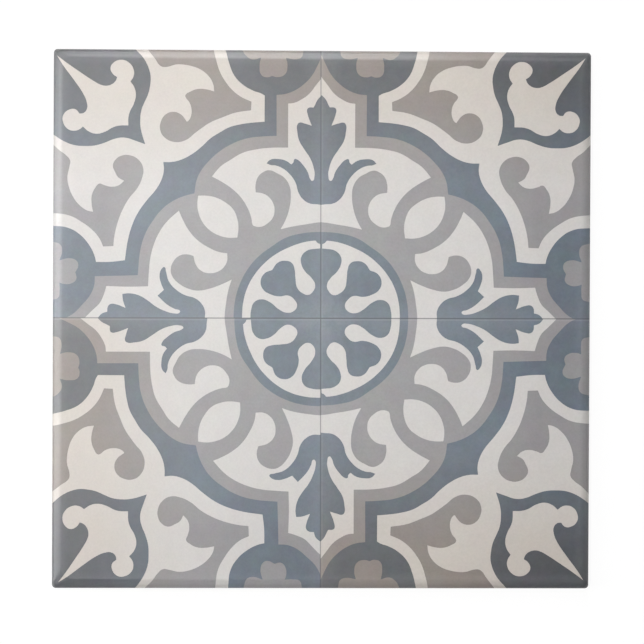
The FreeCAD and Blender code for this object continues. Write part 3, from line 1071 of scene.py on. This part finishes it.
def places_in_mm(tree):
    coordinates = add_node(tree, "ShaderNodeTexCoord").outputs["Object"]
    return reckon_vectors(tree, "MULTIPLY", coordinates, (1 / MM, 1 / MM, 1 / MM))


in_mm = places_in_mm(glaze)
x, y, z = add_node(glaze, "ShaderNodeSeparateXYZ", {0: in_mm}).outputs
place_node = add_node(glaze, "ShaderNodeAttribute", attribute_name="print_place")
on_print = place_node.outputs["Vector"]
u, v, _ = add_node(glaze, "ShaderNodeSeparateXYZ", {0: on_print}).outputs


# %% Helpers for patterns
NOISE_LOW, NOISE_HIGH = 0.3, 0.7


def ramp(tree, value, low, high, to_low=0.0, to_high=1.0):
    """Goes smoothly from to_low to to_high as the value goes from low to high."""
    return add_node(
        tree,
        "ShaderNodeMapRange",
        {"Value": value, "From Min": low, "From Max": high, "To Min": to_low, "To Max": to_high},
        interpolation_type="SMOOTHSTEP",
    )


def noise(tree, vector, size, detail, roughness, output="Fac"):
    """Noise whose patches are about this size, in the vector's own unit."""
    node = add_node(
        tree,
        "ShaderNodeTexNoise",
        {"Vector": vector, "Scale": 1 / size, "Detail": detail, "Roughness": roughness},
    )
    return node.outputs[output]


def cloudy(tree, vector, grain, low, high):
    """Noise spread smoothly over the values from low to high."""
    return ramp(tree, noise(tree, vector, *grain), NOISE_LOW, NOISE_HIGH, low, high)


def blend(tree, factor, a, b):
    """Between two numbers. A Mix node keeps its numbers in other sockets than its colours."""
    return add_node(tree, "ShaderNodeMix", {0: factor, 2: a, 3: b})


def blend_colour(tree, factor, a, b, mode="MIX"):
    node = add_node(
        tree, "ShaderNodeMix", {0: factor, 6: a, 7: b}, data_type="RGBA", blend_type=mode
    )
    return node.outputs[2]


# %% [markdown]
# ## The dark lines
# The quarters of the print meet in two thin dark lines, and each line has a pale haze beside it.
# A groove in the mesh would catch the light, and the photograph's lines don't, so they are ink:
# a mask that is 1 on the line and fades softly beside it. It follows the line's slight lean.

# %% The dark lines where the quarters meet, and their haze
LINE_HALF_WIDTH, HAZE_HALF_WIDTH = 0.15, 0.24
UPRIGHT_STRENGTH, LEVEL_STRENGTH = 0.6, 0.7
HAZE_SHIFT = 0.4
UPRIGHT_HAZE, LEVEL_HAZE = 0.055, 0.105
# where a line's fading starts and ends, in half widths
FULL, NONE = 0.4, 1.6


def line_mask(across, along, place, lean, half_width, strength):
    centre = reckon(glaze, "MULTIPLY_ADD", along, lean, place)
    distance = reckon(glaze, "ABSOLUTE", reckon(glaze, "SUBTRACT", across, centre))
    mask = ramp(glaze, distance, half_width * FULL, half_width * NONE, 1.0, 0.0)
    return reckon(glaze, "MULTIPLY", mask, strength)


def cross_mask(shift, half_width, upright_strength, level_strength):
    """Both lines, moved by a shift to the right and down."""
    upright = line_mask(x, y, LINE_X + shift, LINE_X_LEAN, half_width, upright_strength)
    level = line_mask(y, x, LINE_Y - shift, LINE_Y_LEAN, half_width, level_strength)
    return reckon(glaze, "MAXIMUM", upright, level)


seam = cross_mask(0.0, LINE_HALF_WIDTH, UPRIGHT_STRENGTH, LEVEL_STRENGTH)
haze = cross_mask(HAZE_SHIFT, HAZE_HALF_WIDTH, UPRIGHT_HAZE, LEVEL_HAZE)

# %% [markdown]
# ## Clouds in the ink
# Screen-printed ink is never even. It clouds over a few centimetres, mottles over a few
# millimetres in depth and in hue, and has a fine speck. It pools deeper in one part of each
# quarter and drifts to a warmer tone outwards. Layers of noise at the real sizes give all that,
# and they read the print's own coordinates, so they turn with each quarter.

# %% Mottling: each noise as its size in millimetres, its detail and its roughness
CLOUDS, CLOUD_DEPTH = (22.0, 3.0, 0.5), 0.03
PATCHES, PATCH_DEPTH = (5.0, 4.0, 0.8), 0.055
HUES, HUE_SPREAD = (6.0, 4.0, 0.8), 0.27
SPECKS, SPECK_DEPTH = (0.6, 2.0, 0.5), 0.022
NOISE_MIDDLE = (0.5, 0.5, 0.5)
POOLED, POOL_U, POOL_V = 0.065, (55.0, 64.0), (26.0, 40.0)
cloud = cloudy(glaze, on_print, CLOUDS, -CLOUD_DEPTH, CLOUD_DEPTH)
patch = cloudy(glaze, on_print, PATCHES, -PATCH_DEPTH, PATCH_DEPTH)
speck = cloudy(glaze, on_print, SPECKS, 1 - SPECK_DEPTH, 1 + SPECK_DEPTH)
pool = reckon(
    glaze, "MULTIPLY", ramp(glaze, u, *POOL_U, 0.0, -POOLED), ramp(glaze, v, *POOL_V, 1.0, 0.0)
)
depth = reckon(glaze, "ADD", reckon(glaze, "ADD", cloud, patch), pool)
hues = noise(glaze, on_print, *HUES, "Color")
hues = reckon_vectors(glaze, "SUBTRACT", hues, NOISE_MIDDLE)
hues = reckon_vectors(glaze, "MULTIPLY", hues, (HUE_SPREAD, HUE_SPREAD, HUE_SPREAD))
mottle = reckon_vectors(glaze, "ADD", depth, hues)
mottle = reckon_vectors(glaze, "MULTIPLY", mottle, given["Mottling"])
clouds = reckon_vectors(glaze, "ADD", mottle, speck)

# %% [markdown]
# The ink is also thinner in some places, and the white below it shows: beside the dark lines, at
# the hub of the wheel, and at the rim, where it runs out over the shoulder. Each is a smooth ramp
# of how far a point lies from that place, and the ramps are added up.

# %% Where the ink is thin
THIN_INK = tone(203, 206, 208)
LINE_THIN, LINE_THIN_REACH = 0.055, 7.0
HUB_THIN, HUB_THIN_REACH = 0.11, 12.0
RIM_THIN, RIM_FROM, RIM_TO = 0.05, HALF - 5.0, HALF - 2.0
EDGE_THIN, EDGE_FROM, EDGE_TO = 0.14, HALF - 0.9, HALF + 0.2
PRINT_SHIFT = 0.4


def outward(shift):
    """The greater of a point's distances from the tile's middle, the print moved by a shift."""
    across = reckon(glaze, "ABSOLUTE", reckon(glaze, "SUBTRACT", x, shift))
    along = reckon(glaze, "ABSOLUTE", reckon(glaze, "ADD", y, shift))
    return reckon(glaze, "MAXIMUM", across, along)


flat_place = add_node(glaze, "ShaderNodeCombineXYZ", {0: u, 1: v})
from_hub = reckon_vectors(glaze, "LENGTH", flat_place).outputs["Value"]
beside = reckon(glaze, "MINIMUM", u, v)
thin = 0.0
for places, start, end, at_start, at_end in (
    (beside, 0.0, LINE_THIN_REACH, LINE_THIN, 0.0),
    (from_hub, 0.0, HUB_THIN_REACH, HUB_THIN, 0.0),
    (outward(0.0), RIM_FROM, RIM_TO, 0.0, RIM_THIN),
    (outward(PRINT_SHIFT), EDGE_FROM, EDGE_TO, 0.0, EDGE_THIN),
):
    thin = reckon(glaze, "ADD", ramp(glaze, places, start, end, at_start, at_end), thin)
inked = blend_colour(glaze, thin, given["Ink"], THIN_INK)

# %% The drift, the clouds and the lines on the ink
DRIFT_FROM, DRIFT_TO = 30.0, 72.0
UPWARD_DRIFT = (0.055, 0.080, 0.106, 1)
SIDEWAYS_DRIFT = (0.034, 0.036, 0.034, 1)
SEAM_INK = tone(88, 90, 92)
HAZE_INK = tone(200, 199, 201)
for along, drift in ((v, UPWARD_DRIFT), (u, SIDEWAYS_DRIFT)):
    inked = blend_colour(glaze, ramp(glaze, along, DRIFT_FROM, DRIFT_TO), inked, drift, "SUBTRACT")
inked = blend_colour(glaze, 1.0, inked, clouds.outputs[0], "MULTIPLY")
inked = blend_colour(glaze, haze, inked, HAZE_INK)
inked = blend_colour(glaze, seam, inked, SEAM_INK)

# %% [markdown]
# ## The sides, where print and glaze end
# On the sides the print fades out just under the edge, and the white glaze runs a little
# further before it ends in an uneven line over the bare clay, as it does when a tile is glazed
# from above. Height alone would end both in a ruled line, so noise lets the lines wander.

# %% Where print and glaze end on the sides
PRINT_END, PRINT_WANDER, PRINT_SOFTNESS = 4.35, 0.5, 0.12
GLAZE_END, GLAZE_WANDER, GLAZE_SOFTNESS = 2.1, 2.4, 0.06
WANDERING = (7.0, 3.0, 0.5)
GRAIN, GRAIN_SPREAD = (0.5, 4.0, 0.65), (0.25, 0.75)
GRAIN_DARK, GRAIN_LIGHT = 0.93, 1.05
GLAZE_WHITE = tone(226, 222, 214)
BARE_CLAY = tone(206, 188, 162)
wander = noise(glaze, in_mm, *WANDERING)


def above(height, reach, softness):
    """1 above an uneven line round the sides, 0 below it."""
    line = reckon(glaze, "MULTIPLY_ADD", wander, reach, height - reach / 2)
    return ramp(glaze, reckon(glaze, "SUBTRACT", z, line), -softness, softness)


def clay_grain(tree, places):
    """The pressed clay's fine grain: the noise itself, and the light and dark that it gives."""
    grain = noise(tree, places, *GRAIN)
    return grain, ramp(tree, grain, *GRAIN_SPREAD, GRAIN_DARK, GRAIN_LIGHT)


has_print = above(PRINT_END, PRINT_WANDER, PRINT_SOFTNESS)
has_glaze = above(GLAZE_END, GLAZE_WANDER, GLAZE_SOFTNESS)
grain, grain_shade = clay_grain(glaze, in_mm)
clay_colour = blend_colour(glaze, 1.0, BARE_CLAY, grain_shade, "MULTIPLY")
side_colour = blend_colour(glaze, has_glaze, clay_colour, GLAZE_WHITE)

# %% [markdown]
# ## Sheen
# A satin glaze blurs what it mirrors, and its skin has a faint orange peel a few millimetres
# across. Both vary only a little: the roughness by a tenth, the peel by hundredths of a
# millimetre. The peel is far too fine for the mesh, so it is bump; bare clay is dull and grainy.

# %% Sheen and the faint orange peel
WEAR, WEAR_DEPTH = (16.0, 3.0, 0.5), 0.02
PEEL, PEEL_HEIGHT = (2.6, 2.0, 0.5), 0.012
GRAIN_HEIGHT = 0.09
GLAZE_ROUGHNESS, CLAY_ROUGHNESS = 0.225, 0.85
worn = cloudy(glaze, in_mm, WEAR, -WEAR_DEPTH, WEAR_DEPTH)
satin = reckon(glaze, "ADD", worn, GLAZE_ROUGHNESS)
peel_height = reckon(glaze, "MULTIPLY", noise(glaze, in_mm, *PEEL), PEEL_HEIGHT)
clay_height = reckon(glaze, "MULTIPLY", grain, GRAIN_HEIGHT)
height = blend(glaze, has_glaze, clay_height, peel_height)
add_node(
    glaze,
    "NodeGroupOutput",
    {
        "Color": blend_colour(glaze, has_print, side_colour, inked),
        "Roughness": blend(glaze, has_glaze, CLAY_ROUGHNESS, satin),
        "Normal": add_node(glaze, "ShaderNodeBump", {"Height": height, "Distance": MM}),
    },
)


# %% One material for each ink
CERAMIC_IOR = 1.5


def finish_material(material, colour, roughness, normal):
    """Ends the material in a plain ceramic shader and gives it to the tile."""
    shader = add_node(
        material.node_tree,
        "ShaderNodeBsdfPrincipled",
        {"Base Color": colour, "Roughness": roughness, "Normal": normal, "IOR": CERAMIC_IOR},
    )
    add_node(material.node_tree, "ShaderNodeOutputMaterial", {"Surface": shader})
    tile_mesh.materials.append(material)


for material, (colour, mottling) in zip(MATERIALS, INKS.values()):
    group = add_node(material.node_tree, "ShaderNodeGroup", node_tree=glaze)
    group.inputs["Ink"].default_value = tone(*colour)
    group.inputs["Mottling"].default_value = mottling
    finish_material(material, *group.outputs)

# %% [markdown]
# ## Bare clay
# The back is unglazed biscuit: dull, pale and sandy, a little lighter and darker where the fire
# reached it differently. It needs no group, since nothing else is made like it.

# %% The bare clay of the back
FIRING, FIRED_DARK, FIRED_LIGHT = (30.0, 3.0, 0.5), 0.94, 1.04
clay = MATERIALS[CLAY]
tree = clay.node_tree
in_mm = places_in_mm(tree)
grain, grain_shade = clay_grain(tree, in_mm)
firing = cloudy(tree, in_mm, FIRING, FIRED_DARK, FIRED_LIGHT)
clay_shade = reckon(tree, "MULTIPLY", grain_shade, firing)
clay_colour = blend_colour(tree, 1.0, BARE_CLAY, clay_shade, "MULTIPLY")
clay_bump = add_node(tree, "ShaderNodeBump", {"Height": grain, "Distance": GRAIN_HEIGHT * MM})
finish_material(clay, clay_colour, CLAY_ROUGHNESS, clay_bump)

# %% Each face gets its material
face_material = np.array(inks + [CLAY] * (len(polygons) - len(inks)))[kept]
tile_mesh.polygons.foreach_set("material_index", face_material.astype(np.int32))
tile_mesh.update()
print(len(tile_mesh.polygons), "faces in", len(tile_mesh.materials), "materials")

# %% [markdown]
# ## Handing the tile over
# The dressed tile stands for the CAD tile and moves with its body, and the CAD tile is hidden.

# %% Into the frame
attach(tile, "root")
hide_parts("tile")
